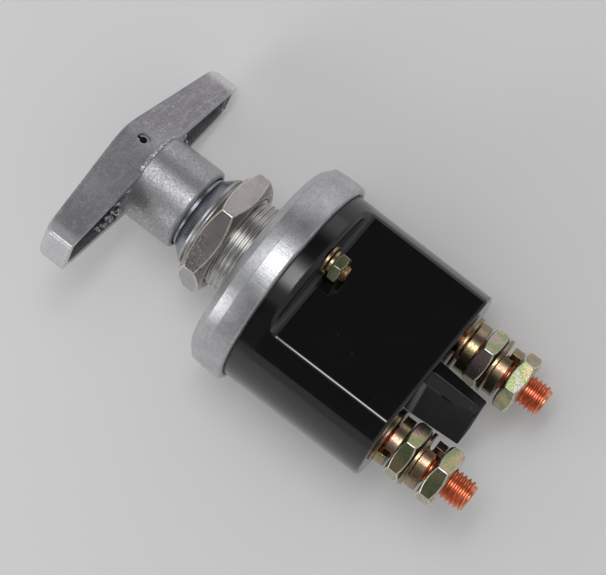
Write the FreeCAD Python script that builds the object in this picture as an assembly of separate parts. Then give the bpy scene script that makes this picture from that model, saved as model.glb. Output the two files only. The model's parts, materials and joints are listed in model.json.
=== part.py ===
import FreeCAD, Part
import math
import os

# Battery disconnect switch with a T handle, millimetres.
# Z runs along the switch axis: the handle is up, the terminal studs are down.
# The origin is the centre of the cover's front face, which seats behind the panel.
# X runs from stud to stud, and the housing's flat faces -Y.
# The switch is drawn open: a clockwise quarter turn of the handle lowers the bridge.

# running and seating clearances
running_clearance = 0.1
loose_clearance = 0.3
seat_gap = 0.05

# handle casting
handle_turn = 15.5
arm_half_length = 42.0
arm_centre_half_width = 12.0
arm_tip_half_width = 6.0
arm_back_z = 40.3
arm_centre_height = 13.4
arm_tip_height = 9.4
arm_crown_radius = 60.0
arm_crown_drop = 0.5
arm_nose_radius = 3.0
arm_side_radius = 14.0
arm_edge_radius = 1.2
arm_wall = 2.2
arm_skin = 2.6
pocket_rib_thickness = 2.0
pocket_rib_length = 6.5
pocket_rib_drop = 2.5
hub_radius = 13.7
hub_end_z = 23.2
hub_edge_radius = 1.3
hub_skirt_depth = 9.0
hub_skirt_clearance = 0.5
hub_top_wall = 3.2
handle_pin_radius = 2.0
handle_pin_bore = 1.2
handle_pin_slit = 0.9
handle_pin_recess = 0.7

# cover casting with its threaded bushing
cover_front_radius = 31.8
cover_shoulder_radius = 34.5
cover_shoulder_z = -2.4
cover_band_radius = 34.8
cover_band_z = -6.0
cover_rim_radius = 34.95
cover_back_z = -12.6
cover_roll_height = 1.0
cover_roll_width = 1.9
cover_front_wall = 4.0
cover_skirt_wall = 1.5
cover_lip_height = 1.3
cover_lip_clearance = 0.15
bushing_radius = 15.0
bushing_flare_z = 18.4
bushing_undercut_depth = 1.3
bushing_undercut_height = 1.6
bushing_groove_width = 0.6
bushing_groove_depth = 0.3
neck_radius = 11.6
neck_start_z = 22.2
neck_end_z = 29.8

# panel nut
panel_nut_flats = 36.0
panel_nut_low_z = 8.4
panel_nut_height = 8.0
panel_nut_turn = 52.5

# shaft, its seal and its thrust washer
shaft_radius = 6.0
collar_radius = 9.0
collar_height = 2.5
thrust_washer_height = 0.8
seal_section_radius = 0.65
seal_z = 24.5
drive_pin_radius = 2.0
drive_pin_z = -22.0
shaft_tail = 4.0

# housing moulding
housing_radius = 32.4
housing_end_radius = 32.2
housing_end_z = -61.2
housing_edge_radius = 1.0
housing_wall = 3.5
housing_base = 9.8
flange_clearance = 0.1
flat_distance = 21.7
flat_wall = 3.2
shelf_z = -18.9
shelf_root_radius = 2.7
flat_edge_radius = 2.0
gasket_height = 0.6
gasket_width = 4.2

# barrier between the studs
barrier_height = 17.1
barrier_half_width = 13.2
barrier_half_thickness = 4.15
barrier_ridge = 0.5
barrier_draft = 1.1
barrier_width_draft = 0.4
barrier_edge_radius = 0.5

# guide ribs in the housing
guide_rib_near_x = 7.6
guide_rib_length = 3.0
guide_rib_thickness = 2.5
guide_rib_top_z = -35.0

# studs and fixed contacts
stud_x = 18.7
stud_radius = 5.0
stud_clamp_relief = 0.25
stud_end_z = -91.3
stud_end_chamfer = 0.7
contact_head_radius = 8.0
contact_head_height = 4.0

# hardware on each stud; the first value is for the +X stud, the second for the -X stud
stack_lift = (0.6, 0.0)
clamp_nut_turn = (50.5, 52.0)
cable_nut_turn = (18.0, 50.8)
inner_split_turn = (120.0, 218.0)
outer_split_turn = (286.0, 290.0)
washer_radius = 9.0
inner_washer_height = 1.0
outer_washer_height = 1.1
washer_hole_radius = 5.4
spring_washer_inner = 5.25
spring_washer_width = 2.85
spring_washer_thickness = 3.2
inner_spring_height = 4.2
outer_spring_height = 4.7
spring_washer_gap_degrees = 16.0
stud_nut_flats = 17.0
clamp_nut_height = 5.2
clamp_nut_gap = 0.25
cable_nut_height = 5.5

# bridge, plunger and contact spring
contact_air_gap = 0.2
pad_radius = 5.5
pad_height = 1.0
bridge_half_length = 24.5
bridge_width = 12.0
bridge_height = 4.0
spring_height = 8.2
spring_mean_radius = 5.9
spring_wire_radius = 0.7
spring_turns = 3.5
crosshead_radius = 13.0
crosshead_height = 3.0
sleeve_height = 14.5
sleeve_radius = 10.0
stem_width = 7.0
stem_tail = 3.2
clip_radius = 5.6
clip_height = 0.9
plunger_travel = 4.0
throw_degrees = 90.0
slot_overrun_degrees = 20.0

# auxiliary terminal on the shelf
aux_x = 2.2
aux_y = -26.8
aux_radius = 2.5
aux_end_z = -26.0
aux_seat_z = -8.6
aux_head_flats = 8.0
aux_head_height = 3.0
aux_pocket_radius = 5.2
aux_spotface_depth = 3.2
aux_washer_radius = 5.0
aux_washer_height = 0.9
aux_spring_width = 1.5
aux_spring_thickness = 1.0
aux_spring_height = 1.5
aux_nut_height = 3.2
aux_nut_turn = 36.0
aux_split_turn = 200.0
strip_width = 7.6
strip_height = 0.8
strip_bend_z = -34.0
strip_tip_z = -45.0
strip_gap = 0.35

V = FreeCAD.Vector
up = V(0, 0, 1)
origin = V(0, 0, 0)

# sizes that follow from the ones above
arm_front_z = arm_back_z + arm_centre_height
handle_pin_z = arm_back_z + arm_centre_height / 2
shaft_bore_radius = shaft_radius + running_clearance
shaft_top_z = arm_front_z - hub_top_wall
cover_recess_z = -cover_front_wall
flange_radius = cover_rim_radius - cover_skirt_wall
lip_top_z = cover_back_z + cover_lip_height
housing_top_z = cover_recess_z - gasket_height
base_top_z = housing_end_z + housing_base
cavity_radius = housing_radius - housing_wall
cavity_flat = flat_distance - flat_wall
contact_top_z = base_top_z + contact_head_height
pad_low_z = contact_top_z + contact_air_gap + plunger_travel
bridge_low_z = pad_low_z + pad_height
bridge_high_z = bridge_low_z + bridge_height
crosshead_low_z = bridge_high_z + spring_height
crosshead_high_z = crosshead_low_z + crosshead_height
sleeve_top_z = crosshead_high_z + sleeve_height
stem_low_z = bridge_low_z - stem_tail
shaft_end_z = drive_pin_z - shaft_tail
stud_nut_bore = stud_radius - stud_clamp_relief + running_clearance


def polygon_face(points):
    """Flat face bounded by straight edges through the points."""
    return Part.Face(Part.makePolygon(points + [points[0]]))


def turned(outline):
    """Solid of revolution about Z of a closed outline of (radius, z) points.

    A point with a third item is a via point: the edge bends through it as an arc.
    """
    edges = []
    last = V(outline[0][0], 0, outline[0][1])
    via = None
    for point in outline[1:] + outline[:1]:
        here = V(point[0], 0, point[1])
        if len(point) == 3:
            via = here
            continue
        curve = Part.Arc(last, via, here) if via else Part.LineSegment(last, here)
        edges.append(curve.toShape())
        last, via = here, None
    return Part.Face(Part.Wire(edges)).revolve(origin, up, 360)


def ring(outer, inner, low_z, high_z, x=0.0, y=0.0):
    """Flat ring, or a plain disc where the inner radius is 0."""
    height = high_z - low_z
    body = Part.makeCylinder(outer, height, V(x, y, low_z))
    if inner > 0:
        body = body.cut(Part.makeCylinder(inner, height, V(x, y, low_z)))
    return body


def block(x0, x1, y0, y1, z0, z1):
    """Box between two corners."""
    return Part.makeBox(x1 - x0, y1 - y0, z1 - z0, V(x0, y0, z0))


def hexagon(flats, low_z, high_z, turn, x=0.0, y=0.0):
    """Hexagonal prism whose first flat faces the direction of turn."""
    corner = flats / math.sqrt(3)
    points = []
    for k in range(6):
        a = math.radians(turn + 30 + 60 * k)
        points.append(V(x + corner * math.cos(a), y + corner * math.sin(a), low_z))
    return polygon_face(points).extrude(V(0, 0, high_z - low_z))


def nut(flats, bore, low_z, high_z, turn, x=0.0, y=0.0):
    """Hexagonal nut with 30 degree chamfers on both ends and a countersunk bore."""
    reach = flats / math.sqrt(3) + 1
    face = flats * 0.475
    drop = (reach - face) * math.tan(math.radians(30))
    sink = min(0.6, (high_z - low_z) / 8)
    envelope = [(bore + sink, low_z), (face, low_z), (reach, low_z + drop),
                (reach, high_z - drop), (face, high_z), (bore + sink, high_z),
                (bore, high_z - sink), (bore, low_z + sink)]
    chamfered = turned(envelope)
    chamfered.translate(V(x, y, 0))
    return chamfered.common(hexagon(flats, low_z, high_z, turn, x, y))


def helix_sweep(profile, pitch, height, radius, left=False):
    """Solid swept by a profile wire that stands at the start of a helix about Z."""
    path = Part.Wire(Part.makeLongHelix(pitch, height, radius, 0, left).Edges)
    return path.makePipeShell([profile], True, True)


def split_washer(inner, width, thickness, height, low_z, split, x=0.0, y=0.0):
    """Spring washer: one open turn of flat bar that climbs to its full height."""
    rise = height - thickness
    share = 1 - spring_washer_gap_degrees / 360
    outer = inner + width
    corners = [V(inner, 0, 0), V(outer, 0, 0), V(outer, 0, thickness), V(inner, 0, thickness)]
    profile = Part.makePolygon(corners + corners[:1])
    body = helix_sweep(profile, rise / share, rise, inner + width / 2)
    body.rotate(origin, up, split + spring_washer_gap_degrees / 2)
    body.translate(V(x, y, low_z))
    return body


def coil(mean_radius, wire_radius, low_z, high_z, turns):
    """Open coil spring with ground ends between two levels."""
    rise = high_z - low_z
    pitch = (rise - 2 * wire_radius) / turns
    start = Part.Circle(V(mean_radius, 0, 0), V(0, 1, 0), wire_radius)
    body = helix_sweep(Part.Wire(start.toShape()), pitch, pitch * turns, mean_radius)
    body.translate(V(0, 0, low_z + wire_radius))
    return body


def arm_half_width(x):
    """Half width of the handle's tapered plan at a distance from its centre."""
    return arm_centre_half_width + (arm_tip_half_width - arm_centre_half_width) * abs(x) / arm_half_length


def arm_side_profile(inset):
    """Side view of both arms: flat back, sloped front, crowned centre and rounded noses."""
    length = arm_half_length - inset
    tip = arm_back_z + arm_tip_height - inset
    peak = arm_front_z + arm_crown_drop - inset
    outline = [V(-length, 0, arm_back_z), V(length, 0, arm_back_z), V(length, 0, tip),
               V(0, 0, peak), V(-length, 0, tip)]
    face = polygon_face(outline)
    reach = arm_centre_half_width + 1
    face.translate(V(0, -reach, 0))
    body = face.extrude(V(0, 2 * reach, 0))
    crown = [e for e in body.Edges if e.BoundBox.ZMin > peak - 0.1]
    body = body.makeFillet(arm_crown_radius, crown)
    noses = [e for e in body.Edges if abs(e.BoundBox.ZMin - tip) < 0.1 and e.BoundBox.XLength < 0.1]
    return body.makeFillet(arm_nose_radius - inset / 2, noses)


def arm_pocket(side):
    """Moulded hollow under one arm, with a stiffening rib left standing by the hub."""
    near = hub_radius + 1.0
    far = arm_half_length - arm_wall
    near_half = arm_half_width(near) - arm_wall
    far_half = arm_half_width(far) - arm_wall
    points = [V(side * near, -near_half, arm_back_z - 1), V(side * far, -far_half, arm_back_z - 1),
              V(side * far, far_half, arm_back_z - 1), V(side * near, near_half, arm_back_z - 1)]
    plan = polygon_face(points).extrude(V(0, 0, arm_centre_height + 2))
    pocket = plan.common(arm_side_profile(arm_skin).fuse(plan_floor()))
    rib_x = sorted([side * near, side * (near + pocket_rib_length)])
    rib = block(rib_x[0], rib_x[1], -pocket_rib_thickness / 2, pocket_rib_thickness / 2,
                arm_back_z + pocket_rib_drop, arm_front_z)
    return pocket.cut(rib)


def plan_floor():
    """Slab that opens the pockets through the back of the arms."""
    reach = arm_half_length
    return block(-reach, reach, -reach, reach, arm_back_z - 1, arm_back_z + 1)


def t_handle():
    """T handle casting: tapered hollow arms, hub and skirt, drilled for its pin."""
    half = arm_half_length
    tip = arm_tip_half_width
    wide = arm_centre_half_width
    corners = [(-half, -tip), (0, -wide), (half, -tip), (half, tip), (0, wide), (-half, tip)]
    plan = polygon_face([V(x, y, arm_back_z) for x, y in corners])
    plan = plan.extrude(V(0, 0, arm_centre_height + 1))
    ridges = [e for e in plan.Edges if abs(e.CenterOfMass.x) < 0.01 and e.Length > arm_centre_height
              and abs(e.tangentAt(e.FirstParameter).z) > 0.99]
    plan = plan.makeFillet(arm_side_radius, ridges)
    bar = plan.common(arm_side_profile(0.0))
    long_edges = [e for e in bar.Edges if e.BoundBox.ZMin > arm_back_z + 1 and abs(e.CenterOfMass.y) > 5]
    bar = bar.makeFillet(arm_edge_radius, long_edges)
    for side in (-1, 1):
        bar = bar.cut(arm_pocket(side))
    hub = Part.makeCylinder(hub_radius, arm_back_z + 1 - hub_end_z, V(0, 0, hub_end_z))
    rim = [e for e in hub.Edges if abs(e.CenterOfMass.z - hub_end_z) < 0.01]
    hub = hub.makeFillet(hub_edge_radius, rim)
    body = bar.fuse(hub)
    skirt = neck_radius + hub_skirt_clearance
    body = body.cut(ring(skirt, 0, hub_end_z - 1, hub_end_z + hub_skirt_depth))
    body = body.cut(ring(shaft_radius + seat_gap, 0, hub_end_z, shaft_top_z + loose_clearance))
    reach = arm_centre_half_width + 2
    start = V(0, -reach, handle_pin_z)
    hole = Part.makeCylinder(handle_pin_radius + seat_gap, 2 * reach, start, V(0, 1, 0))
    body = body.cut(hole).removeSplitter()
    body.rotate(origin, up, handle_turn)
    return body


def handle_pin():
    """Slotted spring pin through the handle and the shaft."""
    length = 2 * (arm_centre_half_width - handle_pin_recess)
    start = V(0, -length / 2, handle_pin_z)
    pin = Part.makeCylinder(handle_pin_radius, length, start, V(0, 1, 0))
    pin = pin.cut(Part.makeCylinder(handle_pin_bore, length, start, V(0, 1, 0)))
    pin = pin.cut(block(-handle_pin_slit / 2, handle_pin_slit / 2, -length / 2, length / 2,
                        handle_pin_z, handle_pin_z + handle_pin_radius))
    pin.rotate(origin, up, handle_turn)
    return pin


def cover():
    """Cap casting: rim, front wall, threaded bushing, flared end and plain neck."""
    undercut = bushing_radius - bushing_undercut_depth
    groove = bushing_radius + bushing_groove_width
    lip = housing_radius + cover_lip_clearance
    roll_r = cover_rim_radius - cover_roll_width
    roll_z = cover_back_z + cover_roll_height
    slant = math.sqrt(0.5)
    outline = [(neck_radius - 0.5, neck_end_z), (neck_radius, neck_end_z - 0.5),
               (neck_radius, neck_start_z),
               (bushing_radius, bushing_flare_z), (bushing_radius, bushing_undercut_height),
               (undercut, bushing_undercut_height - 0.4), (undercut, -bushing_groove_depth),
               (groove, -bushing_groove_depth), (groove, 0.0), (cover_front_radius, 0.0),
               (cover_shoulder_radius, cover_shoulder_z), (cover_band_radius, cover_band_z),
               (cover_rim_radius, cover_band_z - 0.15), (cover_rim_radius, roll_z),
               (roll_r + cover_roll_width * slant, roll_z - cover_roll_height * slant, "via"),
               (roll_r, cover_back_z), (lip, cover_back_z), (lip, lip_top_z), (flange_radius, lip_top_z),
               (flange_radius, cover_recess_z), (shaft_bore_radius, cover_recess_z),
               (shaft_bore_radius, neck_end_z)]
    return turned(outline)


def panel_nut():
    """Large hexagonal nut that clamps the panel against the cover."""
    low_z = panel_nut_low_z
    bore = bushing_radius + running_clearance
    return nut(panel_nut_flats, bore, low_z, low_z + panel_nut_height, panel_nut_turn)


def drive_shaft():
    """Turned shaft with its thrust collar, seal groove and two cross holes."""
    groove = shaft_radius - 2 * seal_section_radius
    half_groove = seal_section_radius + seat_gap
    collar_top = cover_recess_z - thrust_washer_height - 2 * seat_gap
    outline = [(0, shaft_end_z), (shaft_radius - 0.6, shaft_end_z), (shaft_radius, shaft_end_z + 0.6),
               (shaft_radius, collar_top - collar_height), (collar_radius, collar_top - collar_height),
               (collar_radius, collar_top), (shaft_radius, collar_top),
               (shaft_radius, seal_z - half_groove), (groove, seal_z - half_groove),
               (groove, seal_z + half_groove), (shaft_radius, seal_z + half_groove),
               (shaft_radius, shaft_top_z - 0.6), (shaft_radius - 0.6, shaft_top_z), (0, shaft_top_z)]
    body = turned(outline)
    reach = shaft_radius + 1
    for hole_radius, hole_z in ((handle_pin_radius, handle_pin_z), (drive_pin_radius, drive_pin_z)):
        start = V(0, -reach, hole_z)
        body = body.cut(Part.makeCylinder(hole_radius + seat_gap, 2 * reach, start, V(0, 1, 0)))
    body.rotate(origin, up, handle_turn)
    return body


def shaft_seal():
    """O-ring in the shaft's groove."""
    middle = shaft_radius - seal_section_radius + seat_gap
    return Part.makeTorus(middle, seal_section_radius, V(0, 0, seal_z))


def thrust_washer():
    """Plastic washer between the shaft's collar and the cover."""
    high_z = cover_recess_z - seat_gap
    low_z = high_z - thrust_washer_height
    return ring(collar_radius + 0.5, shaft_bore_radius + running_clearance, low_z, high_z)


def cover_gasket():
    """Flat ring between the housing's mouth and the cover."""
    outer = flange_radius - loose_clearance
    return ring(outer, outer - gasket_width, housing_top_z, cover_recess_z)


def housing_shell():
    """Outside of the housing: flange, drafted body with its flat and shelf, rounded end."""
    flange = flange_radius - flange_clearance
    flange_low = lip_top_z + seat_gap
    round_r = housing_edge_radius
    outline = [(0, housing_top_z), (flange, housing_top_z), (flange, flange_low),
               (housing_radius, flange_low), (housing_end_radius, housing_end_z), (0, housing_end_z)]
    shell = turned(outline)
    reach = housing_radius + 5
    cutter = block(-reach, reach, -reach, -flat_distance, housing_end_z - 5, shelf_z)
    root = [e for e in cutter.Edges if abs(e.CenterOfMass.y + flat_distance) < 0.01
            and abs(e.CenterOfMass.z - shelf_z) < 0.01]
    shell = shell.cut(cutter.makeFillet(shelf_root_radius, root))
    long_edges = [e for e in shell.Edges if abs(e.CenterOfMass.y + flat_distance) < 0.1
                  and abs(e.tangentAt(e.FirstParameter).z) > 0.95 and e.Length > abs(shelf_z)]
    shell = shell.makeFillet(flat_edge_radius, long_edges)
    end_edges = [e for e in shell.Edges if abs(e.BoundBox.ZMax - housing_end_z) < 0.01]
    return shell.makeFillet(round_r, end_edges)


def barrier():
    """Drafted wall between the studs, with a shallow ridge down each end."""
    wires = []
    tip_z = housing_end_z - barrier_height
    for z, share in ((housing_end_z, 0), (tip_z, 1)):
        t = barrier_half_thickness - share * barrier_draft
        w = barrier_half_width - share * barrier_width_draft
        ridge = w + barrier_ridge
        points = [V(t, -w, z), V(t, w, z), V(0, ridge, z), V(-t, w, z), V(-t, -w, z), V(0, -ridge, z)]
        wires.append(Part.makePolygon(points + [points[0]]))
    wall = Part.makeLoft(wires, True, True)
    tip = [e for e in wall.Edges if e.BoundBox.ZMax < tip_z + 0.1]
    return wall.makeFillet(barrier_edge_radius, tip)


def housing():
    """Moulded housing: shell, barrier, contact chamber, guide ribs and terminal holes."""
    body = housing_shell().fuse(barrier())
    chamber = Part.makeCylinder(cavity_radius, housing_top_z - base_top_z + 1, V(0, 0, base_top_z))
    reach = cavity_radius + 1
    chamber = chamber.common(block(-reach, reach, -cavity_flat, reach, base_top_z, housing_top_z + 1))
    body = body.cut(chamber)
    rib_y = bridge_width / 2 + loose_clearance
    for x_side in (-1, 1):
        for y_side in (-1, 1):
            xs = sorted([x_side * guide_rib_near_x, x_side * (guide_rib_near_x + guide_rib_length)])
            ys = sorted([y_side * rib_y, y_side * (rib_y + guide_rib_thickness)])
            body = body.fuse(block(xs[0], xs[1], ys[0], ys[1], base_top_z - 1, guide_rib_top_z))
    for side in (-1, 1):
        hole = stud_radius + running_clearance
        body = body.cut(ring(hole, 0, housing_end_z - 1, base_top_z + 1, side * stud_x))
        head = contact_head_radius + loose_clearance
        body = body.cut(ring(head, 0, base_top_z, contact_top_z + 1, side * stud_x))
    body = body.cut(ring(aux_radius + running_clearance, 0, shelf_z - 1, aux_seat_z + 1, aux_x, aux_y))
    body = body.cut(ring(aux_pocket_radius, 0, aux_seat_z, housing_top_z + 1, aux_x, aux_y))
    spotface = aux_washer_radius + running_clearance
    body = body.cut(ring(spotface, 0, shelf_z - aux_spotface_depth, shelf_z, aux_x, aux_y))
    half = strip_width / 2 + loose_clearance
    channel = block(aux_x - half, aux_x + half, aux_y, 1 - cavity_flat, aux_seat_z, housing_top_z + 1)
    body = body.cut(channel)
    return body.removeSplitter()


def terminal_stud(x):
    """Copper stud turned with its contact head; the free end stands clear of the nuts."""
    clamp = stud_radius - stud_clamp_relief
    split_z = cable_nut_low_z(0 if x > 0 else 1)
    chamfer = stud_end_chamfer
    outline = [(0, contact_top_z), (contact_head_radius - 0.5, contact_top_z),
               (contact_head_radius, contact_top_z - 0.5), (contact_head_radius, base_top_z),
               (clamp, base_top_z), (clamp, split_z), (stud_radius, split_z),
               (stud_radius, stud_end_z + chamfer), (stud_radius - chamfer, stud_end_z), (0, stud_end_z)]
    body = turned(outline)
    body.translate(V(x, 0, 0))
    return body


def clamp_nut_high_z(k):
    """Level of the inner nut's upper face on stud k."""
    return housing_end_z - stack_lift[k] - inner_washer_height - inner_spring_height - seat_gap


def outer_washer_high_z(k):
    """Level of the outer flat washer's upper face on stud k."""
    return clamp_nut_high_z(k) - clamp_nut_height - clamp_nut_gap


def cable_nut_high_z(k):
    """Level of the outer nut's upper face on stud k."""
    return outer_washer_high_z(k) - outer_washer_height - outer_spring_height - 2 * seat_gap


def cable_nut_low_z(k):
    """Level of the outer nut's free face on stud k."""
    return cable_nut_high_z(k) - cable_nut_height


def stud_sides():
    """Index and x position of each stud."""
    return ((0, stud_x), (1, -stud_x))


def terminal_studs():
    return [terminal_stud(x) for _, x in stud_sides()]


def inner_flat_washers():
    washers = []
    for k, x in stud_sides():
        high_z = housing_end_z - stack_lift[k]
        washers.append(ring(washer_radius, washer_hole_radius, high_z - inner_washer_height, high_z, x))
    return washers


def inner_spring_washers():
    washers = []
    for k, x in stud_sides():
        low_z = clamp_nut_high_z(k) + seat_gap
        washers.append(split_washer(spring_washer_inner, spring_washer_width, spring_washer_thickness,
                                    inner_spring_height, low_z, inner_split_turn[k], x))
    return washers


def clamp_nuts():
    nuts = []
    for k, x in stud_sides():
        high_z = clamp_nut_high_z(k)
        low_z = high_z - clamp_nut_height
        nuts.append(nut(stud_nut_flats, stud_nut_bore, low_z, high_z, clamp_nut_turn[k], x))
    return nuts


def outer_flat_washers():
    washers = []
    for k, x in stud_sides():
        high_z = outer_washer_high_z(k)
        washers.append(ring(washer_radius, washer_hole_radius, high_z - outer_washer_height, high_z, x))
    return washers


def outer_spring_washers():
    washers = []
    for k, x in stud_sides():
        low_z = cable_nut_high_z(k) + seat_gap
        washers.append(split_washer(spring_washer_inner, spring_washer_width, spring_washer_thickness,
                                    outer_spring_height, low_z, outer_split_turn[k], x))
    return washers


def cable_nuts():
    nuts = []
    for k, x in stud_sides():
        nuts.append(nut(stud_nut_flats, stud_nut_bore, cable_nut_low_z(k), cable_nut_high_z(k),
                        cable_nut_turn[k], x))
    return nuts


def bridge_pads():
    return [ring(pad_radius, 0, pad_low_z, bridge_low_z, x) for _, x in stud_sides()]


def contact_bridge():
    """Copper bar that joins the two fixed contacts."""
    half = bridge_width / 2
    bar = block(-bridge_half_length, bridge_half_length, -half, half, bridge_low_z, bridge_high_z)
    corners = [e for e in bar.Edges if abs(e.tangentAt(e.FirstParameter).z) > 0.99]
    bar = bar.makeFillet(half / 3, corners)
    hole = stem_width / 2 + loose_clearance / 2
    return bar.cut(block(-hole, hole, -hole, hole, bridge_low_z, bridge_high_z))


def drive_pin():
    """Hardened pin through the shaft that runs in the plunger's helical slots."""
    length = 2 * (sleeve_radius - loose_clearance)
    pin = Part.makeCylinder(drive_pin_radius, length, V(0, -length / 2, drive_pin_z), V(0, 1, 0))
    pin.rotate(origin, up, handle_turn)
    return pin


def helical_slots():
    """Cutters for two opposite slots that turn the shaft's quarter turn into the plunger's travel."""
    half = drive_pin_radius + loose_clearance
    inner = shaft_radius - 1
    outer = sleeve_radius + 1
    pitch = plunger_travel * 360 / throw_degrees
    rise = pitch * (throw_degrees + 2 * slot_overrun_degrees) / 360
    square = [V(inner, 0, -half), V(outer, 0, -half), V(outer, 0, half), V(inner, 0, half)]
    profile = Part.makePolygon(square + square[:1])
    run = helix_sweep(profile, pitch, rise, (inner + outer) / 2, True)
    run.translate(V(0, 0, drive_pin_z - pitch * slot_overrun_degrees / 360))
    cutters = []
    for quarter in (90, 270):
        cutter = run.copy()
        cutter.rotate(origin, up, handle_turn + quarter + slot_overrun_degrees)
        cutters.append(cutter)
    return cutters


def plunger():
    """Moulded plunger: slotted sleeve, crosshead and square stem that carries the bridge."""
    body = ring(sleeve_radius, shaft_radius + loose_clearance, crosshead_high_z, sleeve_top_z)
    body = body.fuse(ring(crosshead_radius, 0, crosshead_low_z, crosshead_high_z))
    half = stem_width / 2
    body = body.fuse(block(-half, half, -half, half, stem_low_z, crosshead_low_z))
    groove_high = bridge_low_z - seat_gap
    groove_low = groove_high - clip_height - 2 * seat_gap
    neck = ring(half * 2, half - 0.5, groove_low, groove_high)
    body = body.cut(neck)
    for cutter in helical_slots():
        body = body.cut(cutter)
    return body.removeSplitter()


def plunger_clip():
    """Open retaining ring that holds the bridge on the stem."""
    high_z = bridge_low_z - 2 * seat_gap
    low_z = high_z - clip_height
    clip = ring(clip_radius, stem_width / 2 - 0.5 + seat_gap, low_z, high_z)
    mouth = stem_width / 4
    return clip.cut(block(-mouth, mouth, 0, clip_radius + 1, low_z, high_z))


def contact_spring():
    low_z = bridge_high_z + seat_gap
    return coil(spring_mean_radius, spring_wire_radius, low_z, crosshead_low_z - seat_gap, spring_turns)


def aux_screw():
    """Auxiliary terminal screw, its head sunk in the housing's mouth."""
    strip_top = aux_seat_z + strip_height
    head = hexagon(aux_head_flats, strip_top, strip_top + aux_head_height, 0, aux_x, aux_y)
    shank = [(0, aux_end_z), (aux_radius - 0.4, aux_end_z), (aux_radius, aux_end_z + 0.4),
             (aux_radius, strip_top + 0.5), (0, strip_top + 0.5)]
    screw = turned(shank)
    screw.translate(V(aux_x, aux_y, 0))
    return head.fuse(screw).removeSplitter()


def aux_contact_strip():
    """Bent brass strip from the auxiliary screw down to the bridge's edge."""
    seat = aux_seat_z
    top = seat + strip_height
    wall = -cavity_flat + loose_clearance
    inner = wall + strip_height
    tip = -bridge_width / 2 - strip_gap
    lean = strip_height * 1.2
    outline = [(aux_y, seat), (wall, seat), (wall, strip_bend_z), (tip - lean, strip_tip_z),
               (tip, strip_tip_z), (inner, strip_bend_z + strip_height / 2), (inner, top), (aux_y, top)]
    x0 = aux_x - strip_width / 2
    strip = polygon_face([V(x0, y, z) for y, z in outline]).extrude(V(strip_width, 0, 0))
    strip = strip.fuse(ring(strip_width / 2, 0, seat, top, aux_x, aux_y))
    hole = ring(aux_radius + running_clearance, 0, seat - 1, top + 1, aux_x, aux_y)
    return strip.cut(hole).removeSplitter()


def aux_stack_z():
    """Levels under the shelf: flat washer, spring washer and nut, from the shelf down."""
    washer_low = shelf_z - aux_washer_height
    spring_low = washer_low - aux_spring_height
    nut_high = spring_low - seat_gap
    return washer_low, spring_low, nut_high


def aux_flat_washer():
    washer_low, _, _ = aux_stack_z()
    return ring(aux_washer_radius, aux_radius + 0.2, washer_low, shelf_z, aux_x, aux_y)


def aux_spring_washer():
    _, spring_low, _ = aux_stack_z()
    return split_washer(aux_radius + 0.2, aux_spring_width, aux_spring_thickness, aux_spring_height,
                        spring_low, aux_split_turn, aux_x, aux_y)


def aux_nut():
    _, _, nut_high = aux_stack_z()
    return nut(aux_head_flats, aux_radius + running_clearance, nut_high - aux_nut_height, nut_high,
               aux_nut_turn, aux_x, aux_y)


nodes = {
    "t_handle": t_handle,
    "handle_pin": handle_pin,
    "drive_shaft": drive_shaft,
    "shaft_seal": shaft_seal,
    "thrust_washer": thrust_washer,
    "cover": cover,
    "panel_nut": panel_nut,
    "cover_gasket": cover_gasket,
    "housing": housing,
    "drive_pin": drive_pin,
    "plunger": plunger,
    "plunger_clip": plunger_clip,
    "contact_spring": contact_spring,
    "contact_bridge": contact_bridge,
    "bridge_pads": bridge_pads,
    "terminal_studs": terminal_studs,
    "inner_flat_washers": inner_flat_washers,
    "inner_spring_washers": inner_spring_washers,
    "clamp_nuts": clamp_nuts,
    "outer_flat_washers": outer_flat_washers,
    "outer_spring_washers": outer_spring_washers,
    "cable_nuts": cable_nuts,
    "aux_screw": aux_screw,
    "aux_contact_strip": aux_contact_strip,
    "aux_flat_washer": aux_flat_washer,
    "aux_spring_washer": aux_spring_washer,
    "aux_nut": aux_nut,
}

os.makedirs("parts", exist_ok=True)
for name, make in nodes.items():
    made = make()
    shape = Part.makeCompound(made) if isinstance(made, list) else made
    shape.exportStep(os.path.join("parts", name + ".step"))
    box = shape.BoundBox
    print(name, "solids", len(shape.Solids), "valid", shape.isValid(), "volume", round(shape.Volume, 1),
          "z", round(box.ZMin, 2), round(box.ZMax, 2))
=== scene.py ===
# %% [markdown]
# # A battery disconnect switch
# The switch is a round metal cover with a threaded bushing, a black moulded housing and two copper studs.
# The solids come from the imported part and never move. This lesson gives them their finishes, cuts the
# threads that the solids leave plain, rounds the edges of the nuts, and sets up the studio. Sizes are
# written in millimetres, and heights run along the switch's axis from the cover's flat front.

import json
import math

import bmesh
import bpy
from mathutils import Matrix, Vector, noise


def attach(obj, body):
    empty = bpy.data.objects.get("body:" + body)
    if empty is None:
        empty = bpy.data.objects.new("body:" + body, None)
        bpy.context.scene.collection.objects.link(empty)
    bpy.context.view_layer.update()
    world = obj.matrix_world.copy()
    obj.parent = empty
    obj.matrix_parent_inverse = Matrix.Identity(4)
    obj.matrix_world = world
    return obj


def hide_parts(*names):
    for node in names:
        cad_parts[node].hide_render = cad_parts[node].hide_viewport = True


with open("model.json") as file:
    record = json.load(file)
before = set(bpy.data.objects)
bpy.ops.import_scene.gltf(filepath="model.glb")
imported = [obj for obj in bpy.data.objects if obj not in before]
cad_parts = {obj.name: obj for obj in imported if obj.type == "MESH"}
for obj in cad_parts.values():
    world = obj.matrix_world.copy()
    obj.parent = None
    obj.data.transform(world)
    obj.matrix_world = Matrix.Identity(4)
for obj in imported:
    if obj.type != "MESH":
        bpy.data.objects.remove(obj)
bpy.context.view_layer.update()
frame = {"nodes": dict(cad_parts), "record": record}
nodes = frame["nodes"]
MM = 0.001


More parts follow.
